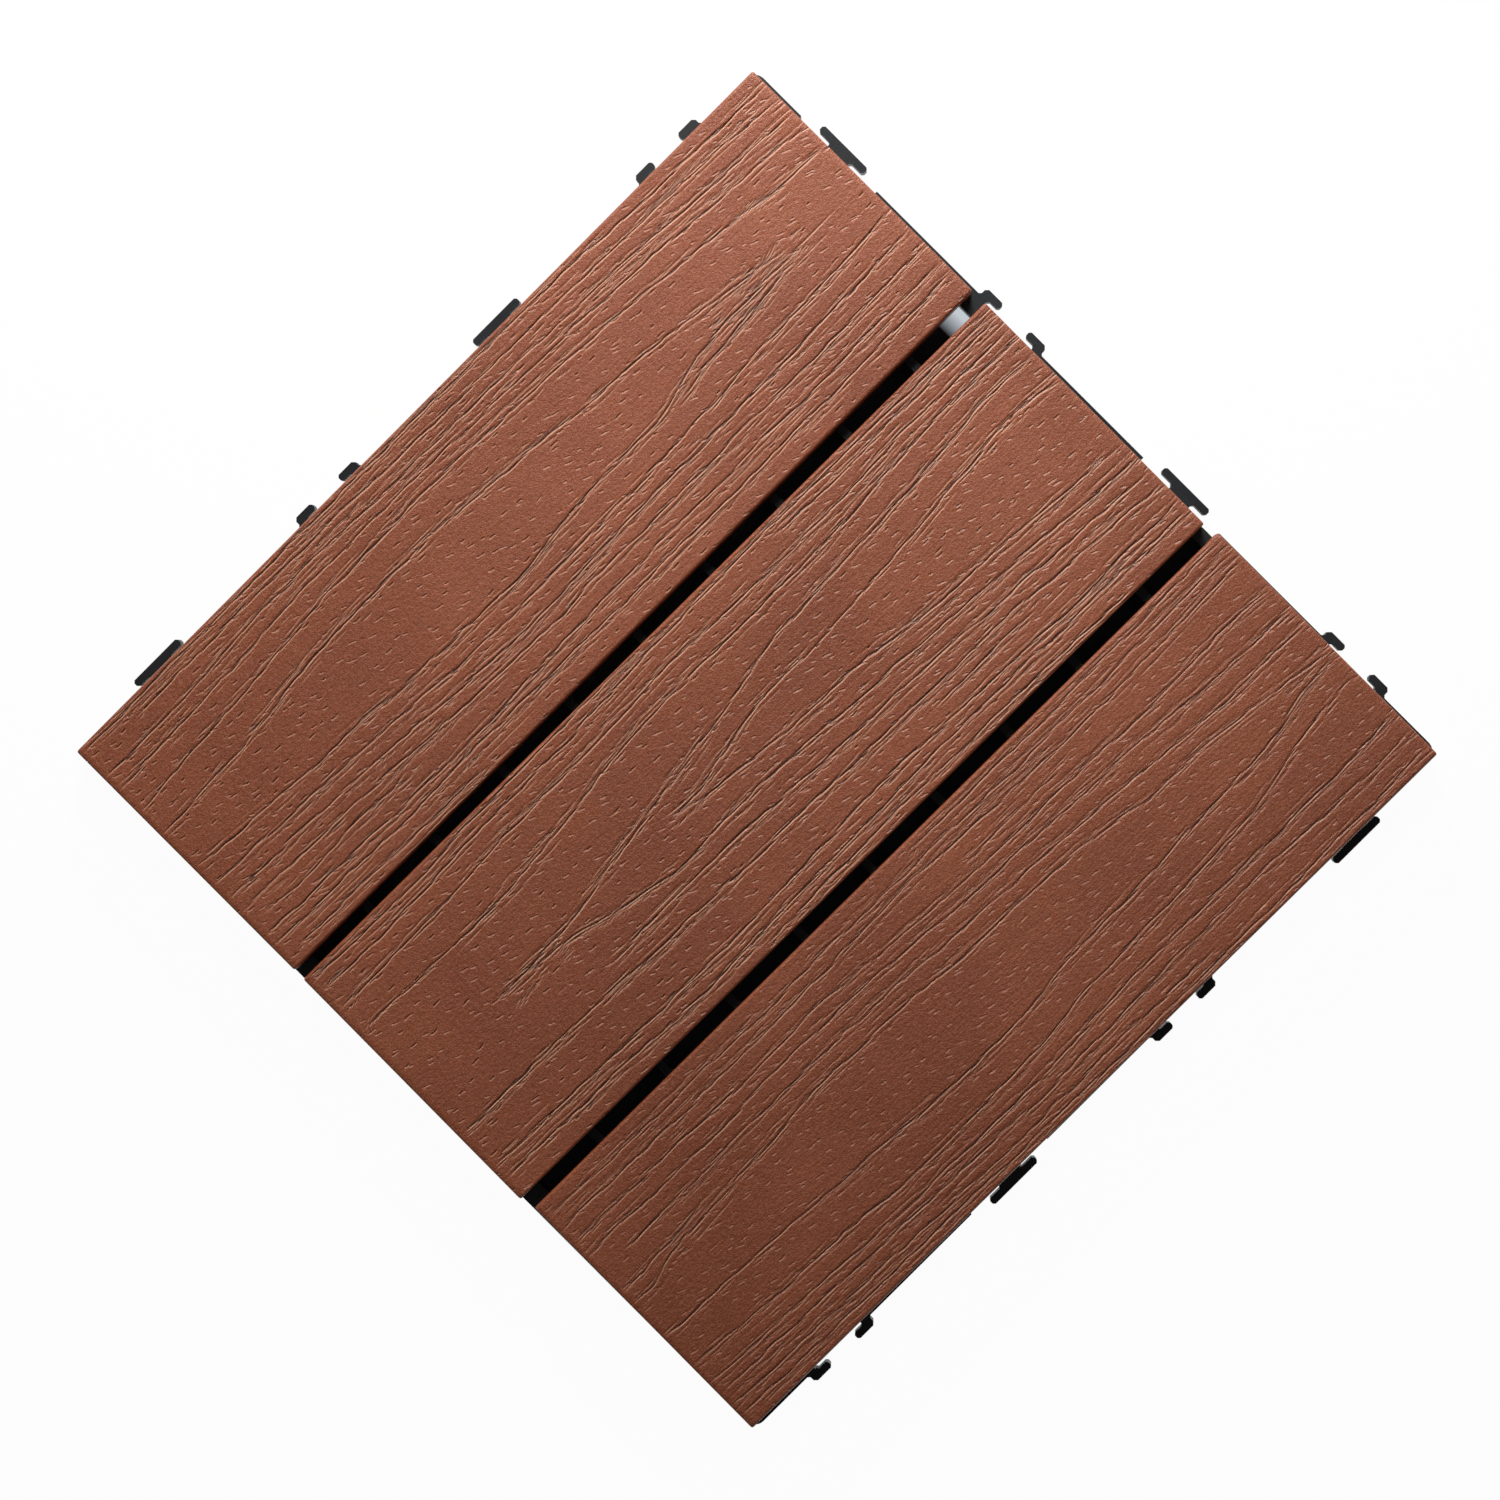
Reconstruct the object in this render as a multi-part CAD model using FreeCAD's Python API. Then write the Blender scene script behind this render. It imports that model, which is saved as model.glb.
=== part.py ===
import FreeCAD, Part
import math
import os

# Interlocking deck tile: wood-look composite boards screwed from below onto a
# moulded plastic lattice base, which clips to the next tile along its edges.
# +X runs along the boards and +Z is up. The origin is the middle of the
# underside of the central foot, on the floor.

# Boards
board_length = 300.0
board_width = 96.8
board_thickness = 12.0
board_gap = 4.8
board_names = ["board_left", "board_middle", "board_right"]
board_top_radius = 1.0
board_bottom_radius = 0.8
board_end_radius = 0.6

# Gap that stays between the boards of two tiles locked together
tile_gap = 3.4

# Base rim, an inverted channel that follows the edge of the tile
base_joint = 1.0
base_height = 10.0
foot_height = 2.5
rim_width = 7.0
rim_wall = 1.8
rim_flange = 2.0
rim_corner_radius = 4.0

# Lattice of drafted ribs inside the rim
cells_per_side = 10
rib_top_width = 3.0
rib_foot_width = 2.2

# Tapered feet under every second crossing, and pads under the rim
foot_width = 7.6
foot_root_width = 9.0
foot_root_height = 4.7
rim_pad_length = 9.0

# Screws, and the pads in the lattice that they pull up against
screw_spacing = 60.0
screw_shank_radius = 1.75
screw_length = 12.0
screw_tip_length = 2.0
screw_head_radius = 3.5
screw_head_height = 2.4
screw_pad_width = 13.0
screw_pad_thickness = 3.0
shank_clearance = 0.35
head_clearance = 0.3
pilot_extra_depth = 0.8

# T tabs and hook pairs that lock two tiles together
lock_thickness = 2.5
lock_clearance = 0.2
lock_end_clearance = 0.4
rim_clearance = 0.3
tab_length = 19.6
tab_stem_width = 8.6
tab_end_bevel = 0.7
hook_root_width = 3.1
hook_mouth = 11.8
hook_corner_bevel = 1.0
lock_gusset = 0.8
lock_top_drop = 1.0
recess_side_clearance = 3.5

# What follows from the sizes above
board_count = len(board_names)
board_pitch = board_width + board_gap
field_width = board_count * board_width + (board_count - 1) * board_gap
pitch_x = board_length + tile_gap
pitch_y = field_width + tile_gap
base_x = pitch_x - base_joint
base_y = pitch_y - base_joint
overall_height = base_height + board_thickness
lock_top = base_height - lock_top_drop
pocket_length = tab_length + 2 * lock_end_clearance
hook_pair_length = pocket_length + 2 * hook_root_width


def rounded_wire(corners, place):
    """Closed wire through (u, v, radius) corners, each rounded by a tangent arc."""
    edges = []
    arcs = []
    for i, (u, v, radius) in enumerate(corners):
        corner = FreeCAD.Vector(u, v, 0)
        before = FreeCAD.Vector(*corners[i - 1][:2], 0).sub(corner).normalize()
        after = FreeCAD.Vector(*corners[(i + 1) % len(corners)][:2], 0).sub(corner).normalize()
        if radius == 0:
            arcs.append((corner, corner, corner))
            continue
        half_angle = before.getAngle(after) / 2
        reach = radius / math.tan(half_angle)
        middle = (before + after).normalize() * (radius / math.sin(half_angle) - radius)
        arcs.append((corner + before * reach, corner + middle, corner + after * reach))
    for i, (start, middle, end) in enumerate(arcs):
        if start.distanceToPoint(end) > 1e-6:
            edges.append(Part.Arc(place(start), place(middle), place(end)).toShape())
        following = arcs[(i + 1) % len(arcs)][0]
        if end.distanceToPoint(following) > 1e-6:
            edges.append(Part.makeLine(place(end), place(following)))
    return Part.Wire(edges)


def bevelled_wire(corners, height):
    """Closed wire in plan through (u, v, bevel) corners, each cut off by its bevel."""
    points = []
    for i, (u, v, bevel) in enumerate(corners):
        corner = FreeCAD.Vector(u, v, height)
        before = FreeCAD.Vector(*corners[i - 1][:2], height).sub(corner).normalize()
        after = FreeCAD.Vector(*corners[(i + 1) % len(corners)][:2], height).sub(corner).normalize()
        for point in (corner + before * bevel, corner + after * bevel):
            if not points or point.distanceToPoint(points[-1]) > 1e-6:
                points.append(point)
    if points[0].distanceToPoint(points[-1]) > 1e-6:
        points.append(points[0])
    return Part.makePolygon(points)


def bevelled_prism(corners, bottom, top):
    """Upright prism on an outline with bevelled corners."""
    return Part.Face(bevelled_wire(corners, bottom)).extrude(FreeCAD.Vector(0, 0, top - bottom))


def plan_prism(corners, bottom, top):
    """Upright prism on an outline with rounded corners."""
    wire = rounded_wire(corners, lambda p: FreeCAD.Vector(p.x, p.y, bottom))
    return Part.Face(wire).extrude(FreeCAD.Vector(0, 0, top - bottom))


def bar_along_x(corners, length):
    """Bar along X, centred, on a rounded outline drawn in the YZ plane."""
    wire = rounded_wire(corners, lambda p: FreeCAD.Vector(-length / 2, p.x, p.y))
    return Part.Face(wire).extrude(FreeCAD.Vector(length, 0, 0))


def rectangle(width, height, radius):
    """Corners of a centred rectangle, all with one radius."""
    return [
        (-width / 2, -height / 2, radius),
        (width / 2, -height / 2, radius),
        (width / 2, height / 2, radius),
        (-width / 2, height / 2, radius),
    ]


def turned(shape, angle):
    """Copy of a shape turned about the tile's upright axis."""
    copy = shape.copy()
    copy.rotate(FreeCAD.Vector(0, 0, 0), FreeCAD.Vector(0, 0, 1), angle)
    return copy


def moved(shape, x, y):
    """Copy of a shape moved in plan."""
    copy = shape.copy()
    copy.translate(FreeCAD.Vector(x, y, 0))
    return copy


def board_centres():
    """Y of each board's centre line, from the +Y side to the -Y side."""
    first = board_pitch * (board_count - 1) / 2
    return [first - board_pitch * i for i in range(board_count)]


def lattice_lines(side):
    """Rib centre lines across one side of the base."""
    cell = side / cells_per_side
    return [cell * i - side / 2 for i in range(1, cells_per_side)]


def screw_places(centre_y):
    """Plan positions of one board's screws: a pair on the cross rib nearest each end."""
    lines = lattice_lines(base_x)
    rows = [lines[0], lines[-1]]
    return [(x, centre_y + side * screw_spacing / 2) for x in rows for side in (-1, 1)]


def all_screw_places():
    """Plan positions of every screw in the tile."""
    return [place for centre_y in board_centres() for place in screw_places(centre_y)]


def make_board(centre_y):
    """One board: rounded long edges, eased ends and blind pilot holes below."""
    bottom = base_height
    top = overall_height
    section = [
        (-board_width / 2, bottom, board_bottom_radius),
        (board_width / 2, bottom, board_bottom_radius),
        (board_width / 2, top, board_top_radius),
        (-board_width / 2, top, board_top_radius),
    ]
    plank = bar_along_x(section, board_length)
    end_section = [
        (-board_length / 2, bottom, 0),
        (board_length / 2, bottom, 0),
        (board_length / 2, top, board_end_radius),
        (-board_length / 2, top, board_end_radius),
    ]
    ends = turned(bar_along_x(end_section, board_width), -90)
    plank = moved(plank.common(ends), 0, centre_y)
    depth = screw_length - screw_pad_thickness + pilot_extra_depth
    pilot = Part.makeCylinder(screw_shank_radius, depth, FreeCAD.Vector(0, 0, bottom))
    return plank.cut([moved(pilot, x, y) for x, y in screw_places(centre_y)])


def make_screw():
    """Pan-head screw, point up, its head drawn up against a pad."""
    seat = base_height - screw_pad_thickness
    head_bottom = seat - screw_head_height
    tip = seat + screw_length
    profile = [
        (0, head_bottom),
        (screw_head_radius, head_bottom),
        (screw_head_radius, seat),
        (screw_shank_radius, seat),
        (screw_shank_radius, tip - screw_tip_length),
        (0, tip),
        (0, head_bottom),
    ]
    outline = Part.makePolygon([FreeCAD.Vector(r, 0, z) for r, z in profile])
    return Part.Face(outline).revolve(FreeCAD.Vector(0, 0, 0), FreeCAD.Vector(0, 0, 1), 360)


def make_screws():
    """All the screws as one group of separate solids."""
    screw = make_screw()
    return Part.makeCompound([moved(screw, x, y) for x, y in all_screw_places()])


def make_tab(half_pitch):
    """T tab on the +X side, centred on Y = 0, with its root inside the rim."""
    inner = half_pitch + lock_clearance / 2
    outer = inner + lock_thickness
    floor = rim_recess_floor(half_pitch)
    root = floor - rim_wall / 2
    stem = tab_stem_width / 2
    flare = stem + lock_gusset
    end = tab_length / 2
    lower_half = [
        (root, -flare, 0),
        (floor, -flare, 0),
        (floor, -stem, lock_gusset),
        (inner, -stem, lock_gusset),
        (inner, -end, tab_end_bevel),
        (outer, -end, tab_end_bevel),
    ]
    upper_half = [(u, -v, bevel) for u, v, bevel in reversed(lower_half)]
    return bevelled_prism(lower_half + upper_half, foot_height, lock_top)


def make_hook(half_pitch):
    """Hook on the +X side at the +Y end of its pair, arm towards -Y."""
    inner = half_pitch + lock_clearance / 2
    outer = inner + lock_thickness
    floor = rim_recess_floor(half_pitch)
    root = floor - rim_wall / 2
    tip = hook_mouth / 2
    pocket = pocket_length / 2
    back = hook_pair_length / 2
    rim_face = half_pitch - base_joint / 2
    corners = [
        (root, pocket, 0),
        (inner, pocket, lock_gusset),
        (inner, tip, tab_end_bevel),
        (outer, tip, tab_end_bevel),
        (outer, back, hook_corner_bevel),
        (rim_face, back, lock_gusset),
        (rim_face, back + lock_gusset, 0),
        (root, back + lock_gusset, 0),
    ]
    return bevelled_prism(corners, foot_height, lock_top)


def rim_recess_floor(half_pitch):
    """Face of the rim where it is set back to clear the next tile's tab or hooks."""
    return half_pitch - lock_clearance / 2 - lock_thickness - rim_clearance


def make_recess(half_pitch, length):
    """Cutter on the +X side that sets the rim's face back over a length."""
    floor = rim_recess_floor(half_pitch)
    beyond = half_pitch + lock_thickness
    corners = rectangle(2 * (beyond - floor), length, lock_gusset)
    return moved(bevelled_prism(corners, 0, base_height), beyond, 0)


def side_pattern(side_pitch):
    """Tab and hook-pair centres along a side, in eighths of the pitch."""
    tabs = [side_pitch * 3 / 8, -side_pitch / 8]
    pairs = [side_pitch / 8, -side_pitch * 3 / 8]
    return tabs, pairs


def locked_sides():
    """Turn angle, half pitch and side pitch of each side that carries locks."""
    return [
        (0, pitch_x / 2, pitch_y),
        (90, pitch_y / 2, pitch_x),
        (-90, pitch_y / 2, pitch_x),
    ]


def make_locks():
    """Every tab and hook of the tile."""
    locks = []
    for angle, half_pitch, side_pitch in locked_sides():
        tab = make_tab(half_pitch)
        hook = make_hook(half_pitch)
        other_hook = hook.mirror(FreeCAD.Vector(0, 0, 0), FreeCAD.Vector(0, 1, 0))
        tabs, pairs = side_pattern(side_pitch)
        locks += [turned(moved(tab, 0, y), angle) for y in tabs]
        locks += [turned(moved(hook, 0, y), angle) for y in pairs]
        locks += [turned(moved(other_hook, 0, y), angle) for y in pairs]
    return locks


def make_recesses(growth):
    """Cutters for the set-back stretches of the rim, grown inwards for the rim's wall."""
    cutters = []
    tab_recess = hook_pair_length + 2 * recess_side_clearance
    for angle, half_pitch, side_pitch in locked_sides():
        tabs, pairs = side_pattern(side_pitch)
        for y in tabs:
            cutter = moved(make_recess(half_pitch, tab_recess + 2 * growth), -growth, y)
            cutters.append(turned(cutter, angle))
        for y in pairs:
            cutter = moved(make_recess(half_pitch, pocket_length + 2 * growth), -growth, y)
            cutters.append(turned(cutter, angle))
    return cutters


def make_rim():
    """Inverted channel round the base, set back at the tabs and between the hooks."""
    outer = plan_prism(rectangle(base_x, base_y, rim_corner_radius), foot_height, base_height)
    open_x = base_x - 2 * rim_width
    open_y = base_y - 2 * rim_width
    opening = bevelled_prism(rectangle(open_x, open_y, 0), foot_height, base_height)
    rim = outer.cut([opening] + make_recesses(0))
    channel_top = base_height - rim_flange
    channel_radius = rim_corner_radius - rim_wall
    hollow_outside = rectangle(base_x - 2 * rim_wall, base_y - 2 * rim_wall, channel_radius)
    hollow_inside = rectangle(open_x + 2 * rim_wall, open_y + 2 * rim_wall, 0)
    hollow = plan_prism(hollow_outside, foot_height, channel_top)
    hollow = hollow.cut(bevelled_prism(hollow_inside, foot_height, channel_top))
    return rim.cut(hollow.cut(make_recesses(rim_wall)))


def make_rib(length):
    """Drafted rib along X, wide at the boards and narrow at the floor."""
    section = [
        (-rib_foot_width / 2, foot_height, 0),
        (rib_foot_width / 2, foot_height, 0),
        (rib_top_width / 2, base_height, 0),
        (-rib_top_width / 2, base_height, 0),
    ]
    return bar_along_x(section, length)


def make_lattice():
    """Ribs both ways, each ending inside the rim's inner wall."""
    along = make_rib(base_x - 2 * rim_width + rim_wall)
    across = turned(make_rib(base_y - 2 * rim_width + rim_wall), 90)
    ribs = [moved(along, 0, y) for y in lattice_lines(base_y)]
    ribs += [moved(across, x, 0) for x in lattice_lines(base_x)]
    return ribs


def make_feet():
    """Tapered feet under every second crossing, the central one at the origin."""
    sole = bevelled_wire(rectangle(foot_width, foot_width, 0), 0)
    root = bevelled_wire(rectangle(foot_root_width, foot_root_width, 0), foot_root_height)
    foot = Part.makeLoft([sole, root], True, True)
    columns = lattice_lines(base_x)[::2]
    rows = lattice_lines(base_y)[::2]
    return [moved(foot, x, y) for x in columns for y in rows]


def make_rim_pads():
    """Pads that carry the rim at the end of every second rib."""
    centre_x = (base_x - rim_width) / 2
    centre_y = (base_y - rim_width) / 2
    pad_width = rim_width - rim_wall
    height = base_height - rim_flange
    end_pad = bevelled_prism(rectangle(pad_width, rim_pad_length, 0), 0, height)
    side_pad = turned(end_pad, 90)
    pads = [moved(end_pad, side * centre_x, y) for side in (-1, 1) for y in lattice_lines(base_y)[::2]]
    pads += [moved(side_pad, x, side * centre_y) for side in (-1, 1) for x in lattice_lines(base_x)[::2]]
    return pads


def make_screw_pads():
    """Square pads on the cross ribs, with a round hole and a square notch below for the head."""
    seat_height = base_height - screw_pad_thickness
    outline = rectangle(screw_pad_width, screw_pad_width, lock_gusset)
    pad = bevelled_prism(outline, seat_height, base_height)
    hole = Part.makeCylinder(screw_shank_radius + shank_clearance, base_height)
    notch_width = 2 * (screw_head_radius + head_clearance)
    notch = bevelled_prism(rectangle(notch_width, notch_width, 0), 0, seat_height)
    places = all_screw_places()
    pads = [moved(pad, x, y) for x, y in places]
    holes = [moved(hole.fuse(notch), x, y) for x, y in places]
    return pads, holes


def make_base():
    """The whole moulding: rim, lattice, feet, screw pads, tabs and hooks in one solid."""
    screw_pads, holes = make_screw_pads()
    pieces = make_lattice() + make_feet() + make_rim_pads() + screw_pads + make_locks()
    base = make_rim().multiFuse(pieces).cut(holes)
    return base.removeSplitter()


def main():
    os.makedirs("parts", exist_ok=True)
    shapes = {"base_grid": make_base(), "board_screws": make_screws()}
    for name, centre_y in zip(board_names, board_centres()):
        shapes[name] = make_board(centre_y)
    for name, shape in shapes.items():
        shape.exportStep("parts/" + name + ".step")
        box = shape.BoundBox
        print(name, len(shape.Solids), "solids", round(shape.Volume / 1000, 2), "cm3", shape.isValid(),
              [round(v, 2) for v in (box.XMin, box.XMax, box.YMin, box.YMax, box.ZMin, box.ZMax)])


main()
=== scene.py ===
import math

import bmesh
import bpy
import numpy as np
from mathutils import Matrix, Vector


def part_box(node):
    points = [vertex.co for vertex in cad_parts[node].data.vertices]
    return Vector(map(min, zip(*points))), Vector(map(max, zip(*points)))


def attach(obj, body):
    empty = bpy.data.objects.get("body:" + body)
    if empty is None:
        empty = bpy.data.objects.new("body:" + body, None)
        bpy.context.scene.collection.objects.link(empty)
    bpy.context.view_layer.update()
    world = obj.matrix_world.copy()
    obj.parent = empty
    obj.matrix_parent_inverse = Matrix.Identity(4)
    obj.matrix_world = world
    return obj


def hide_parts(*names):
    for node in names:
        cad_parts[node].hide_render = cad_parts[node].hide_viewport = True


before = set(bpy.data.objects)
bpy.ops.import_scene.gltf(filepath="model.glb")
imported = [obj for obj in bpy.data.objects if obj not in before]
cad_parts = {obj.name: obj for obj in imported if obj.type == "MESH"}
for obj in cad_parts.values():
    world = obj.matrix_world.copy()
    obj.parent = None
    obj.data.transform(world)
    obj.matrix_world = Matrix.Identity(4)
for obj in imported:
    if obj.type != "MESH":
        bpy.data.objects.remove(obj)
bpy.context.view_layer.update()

# Interlocking deck tile: three embossed boards on a moulded base, seen from straight above.
# Pieces are built in metres in the frame's own axes, +X along the boards and +Z up.

MM = 0.001

# Board profile, in mm
TOP_RADIUS = 1.0
BOTTOM_RADIUS = 0.8
END_RADIUS = 0.6

# Mesh of a board: columns along it, and rows across its flat top
COLUMNS = 190
TOP_ROWS = 460

# Ease on the sharp edges of the moulded base, in metres
BASE_EASE = 0.00022

# Screws, in mm
HEAD_RADIUS = 3.5
HEAD_HEIGHT = 2.4
SHANK_RADIUS = 1.75
THREAD_PITCH = 1.6
THREAD_CORE = 1.2
RECESS_DEPTH = 1.25
RECESS_REACH = 1.65
RECESS_HALF_SLOT = 0.42

# Embossed grain, depths and half widths in mm
LINE_DEPTH = 0.36
LINE_WIDTH = 0.27
STROKE_DEPTH = 0.26
STROKE_WIDTH = 0.25

# Reach of a groove's steep and gentle walls, in half widths
STEEP_SIDE = 0.62
GENTLE_SIDE = 1.30

# Pores: cells of the two layers, along and across in metres, and the share of cells left empty
LONG_PORE_CELL = (0.0068, 0.0049)
SHORT_PORE_CELL = (0.0051, 0.0067)
EMPTY_SHARE = 0.45

# The right board's pores are fainter; its edge lies between these two places across, in metres
RIGHT_BOARD_PORES = 0.62
RIGHT_BOARD_EDGE = (-0.052, -0.048)

# Stage: half the floor's side, and half the square under the tile, in metres
FLOOR_HALF = 12.0
UNDER_TILE_HALF = 0.1495

# Strength of the white that the camera sees in the floor, and of the world's light
FLOOR_LIFT = 0.965
WORLD_STRENGTH = 0.11

# Middle of the tile's top, which the lamps and the camera face
TILE_TOP = (0.0, 0.0, 0.022)

# Lamps: name, place in metres, size in metres, power in watts and colour
LAMPS = [
    ("key", (0.47, 0.51, 0.34), 0.16, 7.25, (1.0, 0.985, 0.96)),
    ("window", (0.50, 0.38, 1.00), 0.20, 3.7, (1.0, 1.0, 1.0)),
]

# Camera fitted to the photo: place in metres, view angle in degrees, shift as a share of the frame
CAMERA_PLACE = (0.0467, -0.0169, 1.472)
CAMERA_UP = (1, 1, 0)
VIEW_ANGLE = 18.31
SENSOR_WIDTH = 36.0
SHIFT = (-3.5 / 1500, 1.65 / 1500)

# Guide lines of the grain, drawn in mm: along the board, then across it from its middle
LEFT_GRAIN = [
    [(-150, 46.8), (0, 46.6), (60, 46), (100, 43.8), (150, 42.8)],
    [(-130, 43), (-80, 43), (-50, 42.7), (0, 41.5), (60, 40.8), (130, 38.3), (150, 36.5)],
    [(-150, 36), (-120, 36), (-80, 38.5), (-50, 38.3), (0, 37), (50, 36), (80, 34.7), (120, 31.5),
     (150, 30.5)],
    [(-150, 30.5), (-90, 32.5), (-70, 33.7), (-40, 33.8), (0, 33.3), (60, 31.5), (100, 29),
     (125, 26.3), (150, 25)],
    [(-150, 21), (-110, 23.5), (-75, 26), (-60, 27.5), (-20, 28.8), (0, 28.2), (40, 26.3),
     (80, 23.2), (115, 19.6), (125, 17), (150, 16)],
    [(-150, 10.7), (-110, 13.2), (-80, 16.3), (-60, 17.4), (-20, 17), (15, 14.3), (40, 11.5),
     (60, 10.5), (75, 9), (95, 5.5), (120, 1.5)],
    [(-150, -3.8), (-120, -6.5), (-80, -8.4), (-60, -10), (-10, -11.3), (0, -9.5), (20, -8),
     (55, -7.4), (62, -5.5), (72, -2.2), (85, -0.8), (120, -0.8)],
    [(60, -8.8), (75, -5.5), (95, -4.3), (115, -2.5)],
    [(-150, -12), (-110, -13.2), (-70, -15.7), (-50, -17.3), (-30, -18), (0, -18), (60, -16.3),
     (80, -15), (120, -13.8), (150, -11.5)],
    [(-150, -18), (-110, -19.3), (-70, -21.2), (-50, -23.2), (-20, -24.3), (30, -22.9),
     (100, -22.8), (150, -20.3)],
    [(-150, -23.5), (-90, -25.2), (-40, -28.3), (-10, -29.3), (0, -28.3), (100, -28.3),
     (150, -27.5)],
    [(-145, -29), (-130, -30), (-110, -29.5), (-80, -29.6)],
    [(-150, -34.6), (-110, -35.3), (-90, -36.5), (-40, -36.3), (0, -34.8), (150, -35)],
    [(-150, -38.5), (-90, -39.6), (-30, -39.5), (0, -40.2), (120, -40), (150, -39)],
    [(-145, -43.7), (-100, -45), (-60, -45.8)],
]
MIDDLE_GRAIN = [
    [(-150, 45.6), (-100, 45.3), (-75, 47), (-40, 47.5), (0, 48)],
    [(-150, 41.5), (-120, 41), (-90, 42.3), (-40, 43.2), (0, 45.2), (50, 46), (150, 45)],
    [(50, 43), (85, 42), (110, 42.7), (150, 42.7)],
    [(-150, 33.5), (-100, 34.3), (-80, 36), (-40, 36), (0, 38), (40, 36.5), (80, 36.5), (100, 38),
     (150, 37.5)],
    [(-150, 24.2), (-115, 22.6), (-90, 22.8), (-50, 26), (-35, 29), (-20, 30.5), (60, 30.6),
     (120, 33.8), (150, 33)],
    [(-110, 1.5), (-75, 2.2), (-60, 5.6), (-45, 8), (-15, 12.8), (15, 18), (30, 20.8), (80, 23.3),
     (130, 27), (150, 26.3)],
    [(-110, -1), (-85, -0.5), (-78, -1.8), (-65, -5.5), (-42, -9.8), (0, -8.9), (40, -11.7),
     (90, -14.7), (130, -18), (150, -18.7)],
    [(-33, 3.5), (-20, 3.2), (-5, 6.5), (10, 9.8), (30, 9.8), (70, 12), (110, 16), (130, 17.5),
     (150, 16)],
    [(-33, 2.5), (-12, -0.3), (0, -2.3), (40, -4), (70, -7.5), (120, -10.5), (150, -12.5)],
    [(-80, -15.5), (-20, -15.2), (0, -16.8), (50, -19), (110, -22.2), (150, -25.3)],
    [(-150, -21.5), (-110, -21.3), (-50, -23.2), (-20, -24), (60, -25.3), (90, -25.7), (130, -29),
     (150, -30.3)],
    [(48, -30.3), (70, -30), (95, -30.2)],
    [(-150, -35), (-80, -37), (-45, -38), (-20, -36.5), (20, -35), (80, -36.7), (100, -37.8),
     (150, -37.5)],
    [(-150, -40.5), (-100, -41), (-60, -43), (-20, -41.3), (30, -40), (90, -40.3), (150, -41.5)],
    [(-40, -45.5), (30, -44.8), (70, -45.3), (120, -47)],
]
RIGHT_GRAIN = [
    [(-150, 43), (-50, 41.3), (-30, 42), (50, 40.5), (90, 40.8), (150, 41.5)],
    [(10, 45.8), (50, 45), (80, 45), (150, 46.3)],
    [(-150, 37), (-140, 38), (-100, 36.8), (-50, 37), (0, 38.6), (40, 37.2), (70, 35.8), (100, 36),
     (150, 37.8)],
    [(-150, 31.5), (-95, 31.5), (-80, 30.5), (-40, 31), (0, 28), (30, 26), (60, 26.2), (100, 24.8),
     (135, 26.2), (150, 24.5)],
    [(-150, 26), (-90, 25.3), (-70, 26.5), (-30, 25.5), (0, 23.8), (20, 22), (85, 19.3),
     (120, 16.8), (150, 15.5)],
    [(-140, 19.3), (-60, 20), (-20, 18.5), (0, 17), (40, 15), (100, 10.4), (120, 9.3), (150, 9.5)],
    [(-150, 5.5), (-140, 5), (-130, 8.3), (-95, 10.5), (-60, 13.3), (-25, 12.8), (0, 10.6),
     (50, 9.3), (80, 4.3), (100, 4), (132, 0.2), (150, -2.5)],
    [(-150, 10), (-130, 11), (-110, 12)],
    [(-150, -9), (-110, -10.5), (-70, -13), (-30, -16), (0, -16), (20, -13.5), (60, -12.3),
     (80, -10.8), (115, -9.5), (135, -4.8), (150, -3.5)],
    [(-150, -21.3), (-120, -23.5), (-80, -25.5), (-65, -27.5), (-30, -27), (0, -26.5), (20, -24),
     (60, -23), (100, -20.5), (120, -15.8), (150, -12.3)],
    [(-150, -29), (-110, -31), (-60, -33), (0, -33.5), (30, -31.2), (100, -30.8), (150, -30)],
    [(-150, -34), (-95, -35.2), (-50, -37), (0, -38), (30, -36.2), (85, -36), (130, -38),
     (150, -37)],
    [(-150, -39), (-80, -41), (-20, -42.8), (20, -41.8), (60, -43.3)],
    [(-150, -43), (-60, -45), (50, -46.5), (125, -45), (150, -44.8)],
    [(20, 30.6), (65, 30.8)],
]
# Patches of dense short strokes: first and last place along, first and last across, and count
LEFT_PATCHES = [(82, 122, -5, 6, 60)]
MIDDLE_PATCHES = [(-112, -86, -5, 4, 34), (-36, -16, 0, 5, 16)]
RIGHT_PATCHES = [(128, 150, -6, 0, 26)]

# Boards: node, guide lines, patches, relief, first and last place along, turn in radians, shift
# across in mm, seed. Turns, shifts and ends set them askew as in the photo.
BOARDS = [
    ("board_left", LEFT_GRAIN, LEFT_PATCHES, 1.0, (-150.1, 149.6), 0.0, 0.0, 11),
    ("board_middle", MIDDLE_GRAIN, MIDDLE_PATCHES, 1.0, (-150.4, 149.4), -0.0050, 0.15, 12),
    ("board_right", RIGHT_GRAIN, RIGHT_PATCHES, 0.84, (-149.65, 150.0), -0.0045, 0.0, 13),
]


# ---------- small helpers ----------

def wavy(rng, x, step):
    """A seeded smooth wave through random values between -1 and 1, one every step."""
    values = rng.uniform(-1, 1, int((x.max() - x.min()) / step) + 4)
    t = (x - x.min()) / step + rng.uniform(0, 1)
    i = t.astype(int)
    f = t - i
    f = f * f * (3 - 2 * f)
    return values[i] * (1 - f) + values[i + 1] * f


def mesh_object(name, verts, faces, material, smooth=True):
    """Linked object with one material from points and faces."""
    mesh = bpy.data.meshes.new(name)
    mesh.from_pydata([tuple(v) for v in verts], [], faces)
    mesh.validate()
    mesh.update()
    mesh.polygons.foreach_set("use_smooth", [smooth] * len(mesh.polygons))
    mesh.materials.append(material)
    obj = bpy.data.objects.new(name, mesh)
    bpy.context.scene.collection.objects.link(obj)
    return obj


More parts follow.
